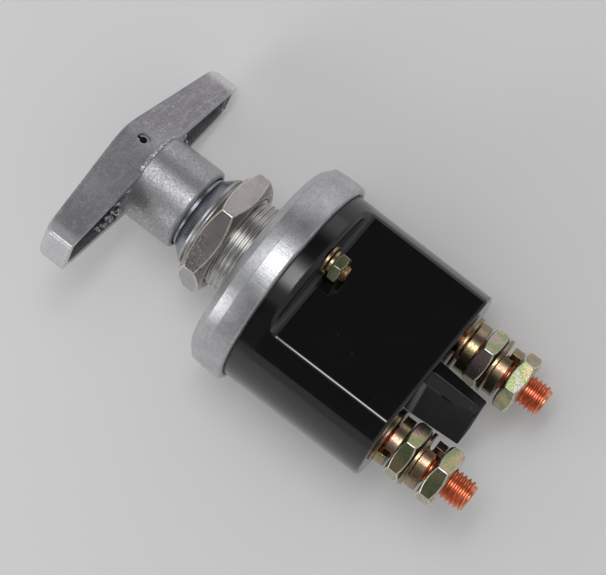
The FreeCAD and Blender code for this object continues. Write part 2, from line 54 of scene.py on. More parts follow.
# %% [markdown]
# ## Node maths as Python
# Materials and Geometry Nodes trees are easier to read when their maths looks like maths. This class wraps
# one output of a node, so that adding or multiplying two of them adds the Math node that does it. The
# reflected forms let a plain number stand first, as in 1 - mask.

# %% An output that can be added and multiplied
class Value:
    """One output of a node; operators on it add Math nodes to its tree."""

    def __init__(self, owner, socket):
        self.owner = owner
        self.socket = socket

    def __add__(self, other):
        return self.owner.maths("ADD", self, other)

    def __radd__(self, other):
        return self.owner.maths("ADD", other, self)

    def __sub__(self, other):
        return self.owner.maths("SUBTRACT", self, other)

    def __rsub__(self, other):
        return self.owner.maths("SUBTRACT", other, self)

    def __mul__(self, other):
        return self.owner.maths("MULTIPLY", self, other)

    def __rmul__(self, other):
        return self.owner.maths("MULTIPLY", other, self)

    def __truediv__(self, other):
        return self.owner.maths("DIVIDE", self, other)

    def __rtruediv__(self, other):
        return self.owner.maths("DIVIDE", other, self)

    def root(self):
        return self.owner.maths("SQRT", self)

    def step(self, low, high):
        """0 below low, 1 above high, and a soft rise between them."""
        return self.owner.node("ShaderNodeMapRange", {"interpolation_type": "SMOOTHSTEP"},
                               Value=self, From_Min=low, From_Max=high)


print("a node's output now takes", "+ - * /")


# %% [markdown]
# ## One way to make a node
# Every node is made by one method: it takes the node's type, then its settings, because some sockets only
# exist once they are set, and then the values or links of its sockets. Shader and geometry trees share it.

# %% A tree of nodes
def set_stops(ramp, stops):
    """Gives a colour ramp its stops, each a place from 0 to 1 and a colour."""
    while len(ramp.elements) < len(stops):
        ramp.elements.new(0.5)
    for element, (position, colour) in zip(ramp.elements, stops):
        element.position = position
        element.color = (*colour, 1)


class Tree:
    """A node tree whose nodes are made by type, settings and sockets."""

    def __init__(self, tree):
        self.tree = tree

    def put(self, socket, item):
        """Sets a socket to a number, vector or colour, or links an output to it."""
        if isinstance(item, Value):
            item = item.socket
        if isinstance(item, bpy.types.NodeSocket):
            self.tree.links.new(item, socket)
        else:
            socket.default_value = (*item, 1) if socket.type == "RGBA" else item

    def node(self, kind, settings=None, output=0, **sockets):
        """Adds a node; a socket goes by its name with _ for a space, or by its number, as in i0."""
        made = self.tree.nodes.new(kind)
        for name, value in (settings or {}).items():
            if name == "stops":
                set_stops(made.color_ramp, value)
            else:
                setattr(made, name, value)
        for name, item in sockets.items():
            key = int(name[1:]) if name[1:].isdigit() else name.replace("_", " ")
            self.put(made.inputs[key], item)
        return Value(self, made.outputs[output])

    def maths(self, operation, *items):
        return self.node("ShaderNodeMath", {"operation": operation},
                         **{"i%d" % k: item for k, item in enumerate(items)})


print("any node comes from", Tree.node.__qualname__)


# %% [markdown]
# ## A finish
# Every finish is a Principled shader on Object coordinates, so its pattern stays put when the piece moves
# and needs no UV map. What changes over the surface feeds only colour, roughness and bump, because those
# are what an export can bake; a number that is the same all over is set on the shader's own socket.

# %% A Principled material and its patterns
class Finish(Tree):
    """A Principled material whose patterns are sized in millimetres."""

    def __init__(self, name, **constants):
        self.material = bpy.data.materials.new(name)
        self.material.use_nodes = True
        super().__init__(self.material.node_tree)
        self.shader = self.tree.nodes["Principled BSDF"]
        self.place = self.node("ShaderNodeTexCoord", output="Object")
        self.wear(**constants)

    def wear(self, **sockets):
        """Sets or links the shader's own sockets, and hands back the material."""
        for name, item in sockets.items():
            self.put(self.shader.inputs[name.replace("_", " ")], item)
        return self.material

    def over(self, factor, kind, **sockets):
        """Mixes another shader over the Principled one."""
        both = self.node("ShaderNodeMixShader", i0=factor, i1=self.shader.outputs[0],
                         i2=self.node(kind, **sockets))
        self.put(self.tree.nodes["Material Output"].inputs[0], both)

    def axes(self):
        """The three Object coordinates in millimetres."""
        scaled = self.node("ShaderNodeVectorMath", {"operation": "SCALE"}, Vector=self.place, Scale=1 / MM)
        split = self.node("ShaderNodeSeparateXYZ", Vector=scaled)
        return [Value(self, out) for out in split.socket.node.outputs]

    def spread(self, size, stretch, seed):
        """Object coordinates in units of size millimetres, stretched on each axis and moved by a seed."""
        return self.node("ShaderNodeMapping", Vector=self.place, Location=[seed] * 3,
                         Scale=[1 / MM / size / s for s in stretch])

    def noise(self, size, detail=3.0, roughness=0.5, stretch=(1, 1, 1), distortion=0.0, seed=0.0):
        """Noise whose blobs are about size millimetres across."""
        return self.node("ShaderNodeTexNoise", Vector=self.spread(size, stretch, seed), Scale=1.0,
                         Detail=detail, Roughness=roughness, Distortion=distortion)

    def cells(self, size, seed=0.0):
        """The distance from points that are strewn about size millimetres apart."""
        return self.node("ShaderNodeTexVoronoi", Vector=self.spread(size, (1, 1, 1), seed), Scale=1.0)

    def mix(self, factor, first, second):
        """Mixes two colours."""
        return self.node("ShaderNodeMix", {"data_type": "RGBA"}, output=2, i0=factor, i6=first, i7=second)

    def ramp(self, factor, *stops):
        return self.node("ShaderNodeValToRGB", {"stops": stops}, Fac=factor)

    def bump(self, height, depth, strength):
        """A normal from a height between 0 and 1, which stands for depth in millimetres."""
        return self.node("ShaderNodeBump", Height=height, Distance=depth * MM, Strength=strength)


def keep(slot, material):
    """Files a finish under its slot."""
    finish[slot] = material
    print("finish", slot, "nodes", len(material.node_tree.nodes))


finish = {}
print("finishes so far", len(finish))


# %% [markdown]
# ## Raw die casting for the handle
# The handle comes straight from the die: a grey skin with a faint purple tint, a fine grain from the
# tumbling drum and cloudy patches. The hub and the two tips, which hands and other castings rub, are
# brighter; the tips' much paler colour is also a painted highlight. Grain under 0.3 mm is bump and not
# mesh, because no outline shows it.

# %% Handle casting
handle_turn = math.radians(15.5)
arm_half_length = 42.0
arm_back_z = 40.3


def handle_casting():
    f = Finish("handle_casting", Metallic=0.86)
    x, y, z = f.axes()
    along = x * math.cos(handle_turn) + y * math.sin(handle_turn)
    tips = (along * along).root().step(arm_half_length - 5.5, arm_half_length - 2.0)
    hub = 1 - z.step(arm_back_z - 0.8, arm_back_z + 1.2)
    clouds = f.noise(13, 4, 0.55)
    patches = f.noise(2.6, 3, 0.6, seed=7)
    rubs = f.noise(1.2, 2, 0.6, stretch=(7, 7, 1), seed=5)
    grain = f.noise(0.62, 3, 0.7)
    glints = (1 - f.cells(0.9, seed=3).step(0.16, 0.3)) * patches.step(0.48, 0.62)
    colour = f.mix(clouds.step(0.35, 0.68), (0.335, 0.327, 0.352), (0.445, 0.436, 0.46))
    colour = f.mix(patches.step(0.45, 0.7) * 0.4, colour, (0.51, 0.505, 0.52))
    colour = f.mix(hub * 0.75, colour, (0.52, 0.522, 0.532))
    # The tips are painted much paler: partly rubbed metal, partly a painted highlight.
    colour = f.mix(tips * 0.85, colour, (0.80, 0.795, 0.81))
    colour = f.mix(grain.step(0.44, 0.6) * (0.42 - tips * 0.26), colour, (0.20, 0.195, 0.205))
    colour = f.mix(rubs.step(0.5, 0.7) * 0.25, colour, (0.62, 0.61, 0.63))
    colour = f.mix(glints * 0.6, colour, (0.90, 0.90, 0.91))
    rough = 0.44 - hub * 0.05 - tips * 0.08 + (grain - 0.5) * 0.3 - glints * 0.12
    return f.wear(Base_Color=colour, Roughness=rough, Normal=f.bump(grain + patches * 0.35, 0.13, 0.8))


keep("handle_casting", handle_casting())


# %% [markdown]
# ## Torn metal
# Where the die's halves parted, a little metal was squeezed out and broken off. It never met the die's
# skin, so it is brighter and shinier than the handle round it, with the same grain.

# %% Casting flash
def casting_flash():
    f = Finish("casting_flash", Metallic=0.9)
    grain = f.noise(0.5, 3, 0.7)
    colour = f.mix(grain.step(0.4, 0.6), (0.36, 0.355, 0.37), (0.78, 0.78, 0.79))
    return f.wear(Base_Color=colour, Roughness=0.28 + grain * 0.25, Normal=f.bump(grain, 0.12, 0.8))


keep("casting_flash", casting_flash())


# %% [markdown]
# ## Satin casting for the cover
# The cover is the same alloy, brushed to a satin: lighter, less rough, with streaks along its axis. Its
# neck above the thread is darker and bluer. One material does both with a mask on height, since they
# are one casting.

# %% Cover casting
bushing_flare_z = 18.4


def cover_casting():
    f = Finish("cover_casting", Metallic=0.9)
    z = f.axes()[2]
    clouds = f.noise(7, 4, 0.62)
    grain = f.noise(0.6, 3, 0.7)
    streaks = f.noise(0.6, 2, 0.5, stretch=(1, 1, 7), seed=3)
    neck = z.step(bushing_flare_z - 0.8, bushing_flare_z + 0.6)
    colour = f.mix(clouds.step(0.3, 0.7), (0.50, 0.505, 0.52), (0.66, 0.665, 0.68))
    colour = f.mix(grain.step(0.46, 0.58) * 0.4, colour, (0.33, 0.33, 0.345))
    colour = f.mix(neck * 0.8, colour, (0.25, 0.27, 0.31))
    rough = 0.36 + (grain - 0.5) * 0.2 + (clouds - 0.5) * 0.1 - neck * 0.1
    return f.wear(Base_Color=colour, Roughness=rough, Normal=f.bump(grain + streaks * 0.9, 0.06, 0.6))


keep("cover_casting", cover_casting())


# %% [markdown]
# ## Cut metal of the bushing thread
# The thread is cut after casting, so it has no skin left: a bright metal with fine marks that run round
# with the tool. The noise is stretched across the axis, which draws those marks without any mesh.

# %% Bushing metal
def bushing_metal():
    f = Finish("bushing_metal", Metallic=0.95)
    marks = f.noise(0.5, 3, 0.6, stretch=(8, 8, 1))
    clouds = f.noise(6, 3, 0.5)
    colour = f.mix(clouds.step(0.3, 0.7), (0.50, 0.49, 0.47), (0.70, 0.69, 0.66))
    return f.wear(Base_Color=colour, Roughness=0.12 + marks * 0.16, Normal=f.bump(marks, 0.02, 0.5))


keep("bushing_metal", bushing_metal())


# %% [markdown]
# ## Nickel on the big nut
# The nut has dull nickel over milled steel, so its faces carry fine brushing and a few pits, painted pale as
# glints. The brushing both darkens the colour and tilts the normal, because plate mirrors the room and a
# change of colour alone would look painted on.

# %% Nickel plate
def nickel_plate():
    f = Finish("nickel_plate", Metallic=0.95)
    brushing = f.noise(0.3, 3, 0.7, stretch=(1, 1, 3))
    clouds = f.noise(7, 3, 0.5)
    glints = (1 - f.cells(0.7).step(0.12, 0.3)) * f.noise(6, 2, 0.5, seed=11).step(0.54, 0.68)
    colour = f.mix(clouds.step(0.3, 0.7), (0.42, 0.385, 0.385), (0.54, 0.50, 0.50))
    colour = f.mix(brushing.step(0.4, 0.62) * 0.6, colour, (0.25, 0.235, 0.22))
    # The pits are painted pale as glints, a painted highlight.
    colour = f.mix(glints * 0.6, colour, (0.88, 0.87, 0.85))
    rough = 0.19 + (brushing - 0.5) * 0.2 - glints * 0.05
    normal = f.bump(brushing * 0.8 + glints * 2.0, 0.09, 0.8)
    return f.wear(Base_Color=colour, Roughness=rough, Normal=normal)


keep("nickel_plate", nickel_plate())


# %% [markdown]
# ## Yellow zinc on the nuts
# Passivated zinc wears a film so thin that its colour shifts from gold to green and pink over a few
# millimetres. A slow noise through a colour ramp gives that drift on every nut at once; painting each
# face by hand would look no better and take far longer.

# %% Yellow zinc
def yellow_zinc():
    f = Finish("yellow_zinc", Metallic=0.94)
    film = f.noise(8, 1, 0.4, distortion=0.25, seed=1.3)
    fine = f.noise(0.55, 3, 0.65)
    pits = f.cells(0.8, seed=5)
    colour = f.ramp(film, (0.28, (0.43, 0.27, 0.26)), (0.38, (0.58, 0.46, 0.28)),
                    (0.46, (0.44, 0.43, 0.23)), (0.54, (0.29, 0.36, 0.16)),
                    (0.62, (0.42, 0.42, 0.33)), (0.72, (0.49, 0.35, 0.36)))
    colour = f.mix(fine.step(0.48, 0.6) * 0.4, colour, (0.19, 0.18, 0.10))
    rough = 0.15 + fine * 0.16 + (1 - pits.step(0.05, 0.2)) * 0.15
    return f.wear(Base_Color=colour, Roughness=rough, Normal=f.bump(fine + pits * 0.5, 0.03, 0.5))


keep("yellow_zinc", yellow_zinc())


# %% [markdown]
# ## Browner zinc on the washers
# The film on the washers is thicker and browner than on the nuts. It is the same idea with a ramp of its
# own, so that the two can be tuned apart.

# %% Washer zinc
def washer_zinc():
    f = Finish("washer_zinc", Metallic=0.94)
    film = f.noise(6, 2, 0.5, distortion=0.25, seed=4.1)
    fine = f.noise(0.55, 3, 0.65)
    colour = f.ramp(film, (0.3, (0.30, 0.17, 0.14)), (0.42, (0.46, 0.33, 0.19)), (0.5, (0.36, 0.33, 0.17)),
                    (0.6, (0.42, 0.29, 0.22)), (0.72, (0.36, 0.22, 0.20)))
    colour = f.mix(fine.step(0.48, 0.6) * 0.45, colour, (0.12, 0.09, 0.06))
    return f.wear(Base_Color=colour, Roughness=0.16 + fine * 0.2, Normal=f.bump(fine, 0.03, 0.5))


keep("washer_zinc", washer_zinc())


# %% [markdown]
# ## Rubbed corners with a painted highlight
# Handling and spanners polish a plated nut's corners first. The bevels get this pale, bright finish as a
# second material slot, which keeps the line crisp at any distance. Its paleness is partly that rubbing and
# partly a painted highlight along the edge.

# %% Rubbed edge with a painted highlight
def rubbed_edge():
    f = Finish("rubbed_edge", Metallic=0.95)
    marks = f.noise(0.8, 3, 0.6)
    # The pale colour is partly rubbed metal and partly a painted highlight along the edge.
    colour = f.mix(marks.step(0.35, 0.65), (0.62, 0.58, 0.48), (0.86, 0.84, 0.76))
    return f.wear(Base_Color=colour, Roughness=0.22 + marks * 0.2, Normal=f.bump(marks, 0.02, 0.5))


keep("rubbed_edge", rubbed_edge())


# %% [markdown]
# ## Bright copper
# The studs are bare copper that has begun to darken in patches. Metal shows its colour in what it
# mirrors, so two copper tones under one noise are enough, with faint turning marks in the gloss.

# %% Copper
def copper():
    f = Finish("copper", Metallic=0.95)
    clouds = f.noise(2.5, 3, 0.6)
    marks = f.noise(0.4, 2, 0.6, stretch=(4, 4, 1))
    colour = f.mix(clouds.step(0.35, 0.7), (0.74, 0.22, 0.10), (0.93, 0.42, 0.25))
    return f.wear(Base_Color=colour, Roughness=0.24 + marks * 0.18, Normal=f.bump(marks, 0.02, 0.5))


keep("copper", copper())


# %% [markdown]
# ## Glossy black moulding
# The housing is a phenolic moulding with a near mirror skin. Real ones carry a little orange peel from
# the mould, faint scuffs, and dust that shows on black more than on anything else. The shelf has lost its
# gloss. On the barrier's sides a near-black diffuse skin is mixed over the shader: painted shade that
# stands in for the dark that those faces mirror.

# %% Black moulding
shelf_z = -18.9
flat_y = -21.7
housing_end_z = -61.2
barrier_y = -13.2


def black_moulding():
    f = Finish("black_moulding", Metallic=0.0, IOR=1.6)
    _, y, z = f.axes()
    shelf_height = (1 - z.step(shelf_z, shelf_z + 0.2)) * z.step(shelf_z - 2.9, shelf_z - 2.3)
    shelf = shelf_height * (1 - y.step(flat_y - 0.6, flat_y - 0.2))
    brow = z.step(shelf_z, shelf_z + 1.4)
    below_housing = 1 - z.step(housing_end_z - 1.2, housing_end_z - 0.4)
    barrier_sides = below_housing * y.step(barrier_y + 0.1, barrier_y + 0.5)
    peel = f.noise(4.0, 2, 0.4)
    scuffs = f.noise(0.5, 3, 0.7, stretch=(1, 1, 30), seed=4).step(0.62, 0.8)
    dust = (1 - f.cells(3.0, seed=2).step(0.035, 0.07)) * f.noise(6, 2, 0.5, seed=9).step(0.52, 0.64)
    haze = f.noise(18, 3, 0.5)
    colour = f.mix(haze.step(0.3, 0.75) * 0.6, (0.0030, 0.0030, 0.0034), (0.0050, 0.0050, 0.0056))
    colour = f.mix(dust * 0.35, colour, (0.14, 0.14, 0.135))
    colour = f.mix(shelf * 0.85, colour, (0.05, 0.05, 0.052))
    rough = 0.06 + haze * 0.05 + scuffs * 0.06 + dust * 0.3 + shelf * 0.4 + brow * 0.1
    # Painted shade: a near-black diffuse skin on the barrier's sides stands in for the dark they mirror.
    f.over(barrier_sides * (0.74 + haze * 0.15), "ShaderNodeBsdfDiffuse", Color=(0.008, 0.008, 0.008))
    return f.wear(Base_Color=colour, Roughness=rough, Normal=f.bump(peel, 0.03, 0.2))


keep("black_moulding", black_moulding())


# %% [markdown]
# ## Plain finishes for the inside
# The inside is only seen when the part is taken apart, so its finishes are quiet: pale plastic for the
# plunger, rubber for the seals, turned steel, brass and silver. Each is two tones and a grain.

# %% Inner plastic, rubber, steel, brass and silver
def inner_plastic():
    f = Finish("inner_plastic")
    clouds = f.noise(8, 3, 0.5)
    colour = f.mix(clouds, (0.62, 0.60, 0.54), (0.72, 0.70, 0.64))
    return f.wear(Base_Color=colour, Roughness=0.42 + clouds * 0.15, Normal=f.bump(f.noise(0.6), 0.02, 0.3))


def black_rubber():
    f = Finish("black_rubber")
    clouds = f.noise(2, 3, 0.6)
    colour = f.mix(clouds, (0.018, 0.018, 0.018), (0.035, 0.035, 0.034))
    return f.wear(Base_Color=colour, Roughness=0.6 + clouds * 0.2, Normal=f.bump(f.noise(0.4), 0.02, 0.4))


def plain_steel():
    f = Finish("plain_steel", Metallic=0.95)
    turning = f.noise(0.4, 3, 0.6, stretch=(6, 6, 1))
    colour = f.mix(turning, (0.33, 0.33, 0.33), (0.48, 0.48, 0.47))
    return f.wear(Base_Color=colour, Roughness=0.28 + turning * 0.2, Normal=f.bump(turning, 0.01, 0.5))


def bright_brass():
    f = Finish("bright_brass", Metallic=0.95)
    clouds = f.noise(3, 3, 0.6)
    colour = f.mix(clouds.step(0.35, 0.65), (0.38, 0.20, 0.10), (0.60, 0.40, 0.20))
    return f.wear(Base_Color=colour, Roughness=0.26 + clouds * 0.16, Normal=f.bump(f.noise(0.4), 0.01, 0.4))


def silver_pad():
    f = Finish("silver_pad", Metallic=0.95)
    clouds = f.noise(2, 3, 0.6)
    colour = f.mix(clouds, (0.55, 0.54, 0.51), (0.72, 0.71, 0.68))
    return f.wear(Base_Color=colour, Roughness=0.3 + clouds * 0.2, Normal=f.bump(f.noise(0.4), 0.01, 0.4))


keep("inner_plastic", inner_plastic())
keep("rubber", black_rubber())
keep("pin_steel", plain_steel())
keep("brass", bright_brass())
keep("contact_pads", silver_pad())


# %% [markdown]
# ## Dress the solids that keep their own mesh
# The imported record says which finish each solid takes. The solids' meshes are never changed, so a solid
# that needs finer form, such as a thread, is replaced by a new piece further on.

# %% Assign the finishes
def dress(piece, name):
    piece.data.materials.clear()
    piece.data.materials.append(finish[name])


for entry in frame["record"]["subparts"]:
    dress(nodes[entry["node"]], entry["material_slot"])


# %% [markdown]
# ## From a mesh to a piece
# Each new piece goes through the same steps: its modifiers are applied, so that it is a plain
# mesh; it is shaded smooth apart from its sharp edges; it is told which body it rides on and which of the
# record's finishes it takes; and the solids that it replaces are hidden.

# %% Link, settle and turn outwards
solid_merge = 2e-6
smooth_limit = 32


def linked(name, data):
    """A new object in the scene, at the origin."""
    made = bpy.data.objects.new(name, data)
    bpy.context.scene.collection.objects.link(made)
    return made


def built(name, work):
    """A new object from the mesh being worked on."""
    mesh = bpy.data.meshes.new(name)
    work.to_mesh(mesh)
    work.free()
    return linked(name, mesh)


def shade(mesh, sharp):
    """Smooth shading, apart from edges that turn by more than sharp degrees."""
    for face in mesh.polygons:
        face.use_smooth = True
    mesh.set_sharp_from_angle(angle=math.radians(sharp))


def settle(piece, slot, body, replaced=(), sharp=smooth_limit):
    """Applies a piece's modifiers, shades it, dresses it and rides it on its body."""
    depsgraph = bpy.context.evaluated_depsgraph_get()
    mesh = bpy.data.meshes.new_from_object(piece.evaluated_get(depsgraph))
    piece.modifiers.clear()
    piece.data = mesh
    if sharp:
        shade(mesh, sharp)
    if len(mesh.materials) < 2:
        dress(piece, slot)
    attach(piece, body)
    if replaced:
        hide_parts(*replaced)
    print(piece.name, "faces", len(mesh.polygons))


def turn_outwards(mesh):
    work = bmesh.new()
    work.from_mesh(mesh)
    bmesh.ops.recalc_face_normals(work, faces=work.faces)
    work.to_mesh(mesh)
    work.free()


# %% [markdown]
# ## Rounded edges
# Nothing real has a perfectly sharp edge, and the thin bright line along an edge is what makes plated
# steel look like steel. The piece is a merged copy of the solid with a small bevel. Normals are weighted
# by face, so the bevel catches the light and the flats stay flat.

# %% Bevelled copies
edge_angle, handle_edge_angle, flat_angle = 28, 60, 0.3
nut_bevel, small_nut_bevel, washer_bevel, panel_nut_bevel, handle_bevel = 0.3, 0.12, 0.14, 0.36, 0.3


def bevelled(name, width, slot, body="case", segments=2, angle=edge_angle, edge_finish=None, clamp=True):
    """Bevels edges that turn by more than angle; without clamp, a bevel may meet its neighbour."""
    mesh = nodes[name].data.copy()
    work = bmesh.new()
    work.from_mesh(mesh)
    bmesh.ops.remove_doubles(work, verts=work.verts, dist=solid_merge)
    bmesh.ops.dissolve_limit(work, angle_limit=math.radians(flat_angle), verts=work.verts, edges=work.edges)
    work.to_mesh(mesh)
    work.free()
    shade(mesh, min(angle, smooth_limit))
    piece = linked(name + "_rounded", mesh)
    edge = piece.modifiers.new("edge", "BEVEL")
    edge.width = width * MM
    edge.segments = segments
    edge.limit_method = "ANGLE"
    edge.use_clamp_overlap = clamp
    edge.angle_limit = math.radians(angle)
    if edge_finish:
        edge.material = 1
        mesh.materials.clear()
        mesh.materials.append(finish[slot])
        mesh.materials.append(finish[edge_finish])
    flats = piece.modifiers.new("flats", "WEIGHTED_NORMAL")
    flats.weight = 100
    flats.keep_sharp = True
    settle(piece, slot, body, [name], sharp=None)


for name in ("clamp_nuts", "cable_nuts"):
    bevelled(name, nut_bevel, "yellow_zinc", edge_finish="rubbed_edge", clamp=False)
bevelled("aux_nut", small_nut_bevel, "yellow_zinc", edge_finish="rubbed_edge")
for name in ("inner_flat_washers", "inner_spring_washers", "outer_flat_washers", "outer_spring_washers",
             "aux_flat_washer", "aux_spring_washer"):
    bevelled(name, washer_bevel, "washer_zinc")
bevelled("panel_nut", panel_nut_bevel, "nickel_plate", edge_finish="rubbed_edge", clamp=False)
bevelled("t_handle", handle_bevel, "handle_casting", body="handle", segments=3, angle=handle_edge_angle)


# %% [markdown]
# ## Growing a piece with Geometry Nodes
# Threads and the casting's bead follow a path, so each is grown by a tree with named inputs. This class
# makes the inputs and the ending that every tree shares: real mesh instead of instances, then a material.
# The function runs a tree for one piece and keeps the plain mesh.

# %% A growing tree and one run of it
class Grower(Tree):
    """A Geometry Nodes tree with named number inputs and a finish."""

    def __init__(self, name, *numbers):
        super().__init__(bpy.data.node_groups.new(name, "GeometryNodeTree"))
        face = self.tree.interface
        face.new_socket("Geometry", in_out="INPUT", socket_type="NodeSocketGeometry")
        face.new_socket("Geometry", in_out="OUTPUT", socket_type="NodeSocketGeometry")
        for title in numbers:
            face.new_socket(title, in_out="INPUT", socket_type="NodeSocketFloat")
        face.new_socket("Finish", in_out="INPUT", socket_type="NodeSocketMaterial")
        given = self.tree.nodes.new("NodeGroupInput").outputs
        self.numbers = [Value(self, given[title]) for title in numbers]
        self.finish = Value(self, given["Finish"])

    def end(self, shape):
        real = self.node("GeometryNodeRealizeInstances", Geometry=shape)
        painted = self.node("GeometryNodeSetMaterial", Geometry=real, Material=self.finish)
        self.put(self.tree.nodes.new("NodeGroupOutput").inputs[0], painted)


def grown(name, grower, slot, body, lengths, **others):
    """Runs a tree with lengths in millimetres and other numbers as they are, and keeps its mesh."""
    piece = linked(name, bpy.data.meshes.new(name))
    maker = piece.modifiers.new("grow", "NODES")
    maker.node_group = grower.tree
    inputs = {item.name: item.identifier for item in grower.tree.interface.items_tree
              if item.in_out == "INPUT"}
    for title, value in lengths.items():
        maker[inputs[title]] = float(value) * MM
    for title, value in others.items():
        maker[inputs[title]] = float(value)
    maker[inputs["Finish"]] = finish[slot]
    settle(piece, slot, body)
    turn_outwards(piece.data)


print("kinds of tree", [kind.__name__ for kind in Tree.__subclasses__()])


# %% [markdown]
# ## Threads
# A thread is one ridge that follows a helix round a core. The tree sweeps a four-sided section along a
# spiral, and thins it to nothing over the run-out at both ends, as a die does when it leaves the metal.
# A Screw modifier could make the ridge, but it can't thin the ends.

# %% The thread tree
spiral_steps = 72
foot_share, crest_share, sink_share = 0.46, 0.07, 0.15
thinnest = 0.02


def thread_tree():
    t = Grower("thread_ridge", "Root radius", "Crest height", "Pitch", "Length", "Low end", "Centre x",
               "Centre y", "Run out")
    root, height, pitch, length, low, centre_x, centre_y, run_out = t.numbers
    spiral = t.node("GeometryNodeCurveSpiral", Resolution=spiral_steps, Reverse=True,
                    Rotations=length / pitch, Start_Radius=root, End_Radius=root, Height=length)
    along = t.node("GeometryNodeSplineParameter", output="Factor")
    share = run_out / length
    ends = t.maths("MINIMUM", along / share, (1 - along) / share)
    taper = t.maths("MAXIMUM", t.maths("MINIMUM", ends, 1.0), thinnest)
    foot, crest, sink = pitch * foot_share, pitch * crest_share, height * -sink_share
    corners = (foot, sink), (crest, height), (crest * -1, height), (foot * -1, sink)
    section = t.node("GeometryNodeCurvePrimitiveQuadrilateral", {"mode": "POINTS"}, **{
        "Point_%d" % (k + 1): t.node("ShaderNodeCombineXYZ", X=out, Y=across)
        for k, (across, out) in enumerate(corners)})
    upright = t.node("GeometryNodeSetCurveNormal", {"mode": "Z_UP"}, Curve=spiral)
    ridge = t.node("GeometryNodeCurveToMesh", Curve=upright, Profile_Curve=section, Scale=taper,
                   Fill_Caps=True)
    place = t.node("ShaderNodeCombineXYZ", X=centre_x, Y=centre_y, Z=low)
    t.end(t.node("GeometryNodeTransform", Geometry=ridge, Translation=place))
    return t


def thread(name, slot, root, crest, pitch, span, run_out, x=0.0, y=0.0):
    """One thread between the two heights of span, round the axis at x, y, in millimetres."""
    low, high = span
    grown(name, threads, slot, "case", {
        "Root radius": root, "Crest height": crest - root, "Pitch": pitch, "Length": high - low,
        "Low end": low, "Centre x": x, "Centre y": y, "Run out": run_out})


threads = thread_tree()
print("thread tree nodes", len(threads.tree.nodes))


# %% [markdown]
# ## Turned cores
# The studs and the cover are turned shapes, so each core is one outline spun round its axis. The outline
# is the solid's own, apart from the stretch where the thread's ridge needs a thinner root to stand on.

# %% Spin an outline
pole_merge = 1e-7


def join_rings(work, rings):
    """Joins each ring of vertices to the next with faces."""
    for here, there in zip(rings, rings[1:]):
        for j in range(len(here)):
            m = (j + 1) % len(here)
            work.faces.new((here[j], here[m], there[m], there[j]))


def spun(name, outline, centre_x, steps):
    """A closed surface of revolution of (radius, z) points in millimetres."""
    work = bmesh.new()
    rings = []
    for k in range(steps):
        a = 2 * math.pi * k / steps
        rings.append([work.verts.new(((centre_x + r * math.cos(a)) * MM, r * math.sin(a) * MM, z * MM))
                      for r, z in outline])
    join_rings(work, rings + rings[:1])
    bmesh.ops.remove_doubles(work, verts=work.verts, dist=pole_merge)
    bmesh.ops.recalc_face_normals(work, faces=work.faces)
    return built(name, work)


def arc(centre, radii, start, end, steps):
    """Points along part of an ellipse in the outline's plane, in degrees."""
    points = []
    for k in range(steps + 1):
        a = math.radians(start + (end - start) * k / steps)
        points.append((centre[0] + radii[0] * math.cos(a), centre[1] + radii[1] * math.sin(a)))
    return points


print("a quarter round in 4 steps", [(round(r, 2), round(z, 2)) for r, z in arc((0, 0), (1, 1), 90, 0, 4)])


# %% [markdown]
# ## Studs
# Each stud is a turned copper bolt: its round contact head sits inside the housing, a plain neck passes
# the wall, and the rest is threaded to the end. The core stops at the thread's root, and the ridge runs
# from where the stud leaves the housing to its chamfered tip.

# %% Two studs
coarse_pitch = 1.5
stud_x, stud_radius, stud_root, stud_neck = 18.7, 5.0, 4.1, 4.75
stud_end_z, stud_thread_z, stud_ridge_span, stud_run_out = -91.3, -62.0, (-91.0, -62.25), 0.9
stud_chamfer, stud_run_in, stud_facets = 0.35, 0.8, 96
head_top_z, head_radius, head_height, head_round = -47.4, 8.0, 4.0, 0.4
stud_outline = [
    (0, head_top_z),
    *arc((head_radius - head_round, head_top_z - head_round), (head_round, head_round), 90, 0, 4),
    (head_radius, head_top_z - head_height), (stud_neck, head_top_z - head_height),
    (stud_neck, stud_thread_z), (stud_root, stud_thread_z - stud_run_in),
    (stud_root, stud_end_z + stud_chamfer), (stud_root - stud_chamfer, stud_end_z), (0, stud_end_z)]
for side, label in ((1, "pos_x"), (-1, "neg_x")):
    core = spun("stud_core_" + label, stud_outline, side * stud_x, stud_facets)
    settle(core, "copper", "case", ["terminal_studs"])
    thread("stud_thread_" + label, "copper", stud_root, stud_radius, coarse_pitch, stud_ridge_span,
           stud_run_out, side * stud_x)


# %% [markdown]
# ## The auxiliary screw
# Only the last 1.6 mm of this brass screw carries a thread that shows, below its nut. The piece is a copy
# of the solid, cut across twice above that end, and what lies below is pulled in to the thread's root, so
# its head and shank stay the solid's own.

# %% The screw's end and its thread
aux_x, aux_y, aux_end_z, aux_thread_z = 2.2, -26.8, -26.0, -24.4
aux_thread_radius, aux_root, aux_pitch, aux_run_out = 2.48, 2.05, 0.8, 0.3
step_height = 0.12


def screw_end(name, x, y, high, root):
    """A copy of a screw whose end below high is thinned to the root of its thread."""
    work = bmesh.new()
    work.from_mesh(nodes[name].data)
    bmesh.ops.remove_doubles(work, verts=work.verts, dist=solid_merge)
    for z in (high, high - step_height):
        bmesh.ops.bisect_plane(work, geom=[*work.verts, *work.edges, *work.faces], plane_co=(0, 0, z * MM),
                               plane_no=(0, 0, 1))
    for vertex in work.verts:
        out = Vector((vertex.co.x - x * MM, vertex.co.y - y * MM))
        if vertex.co.z < (high - step_height / 2) * MM and out.length > root * MM:
            out *= root * MM / out.length
            vertex.co.x, vertex.co.y = x * MM + out.x, y * MM + out.y
    settle(built(name + "_core", work), "brass", "case", [name])


screw_end("aux_screw", aux_x, aux_y, aux_thread_z, aux_root)
thread("aux_thread", "brass", aux_root, aux_thread_radius, aux_pitch, (aux_end_z, aux_thread_z),
       aux_run_out, aux_x, aux_y)


# %% [markdown]
# ## Cover with its bushing
# The cover is one casting, from the neck that the handle turns on, down the threaded bushing and over the
# flat front, to the rim that is rolled in under the housing's flange. Spinning one outline gives all of it
# without a seam, and its ellipse arcs round the edges finely enough for the long highlight on the rim.

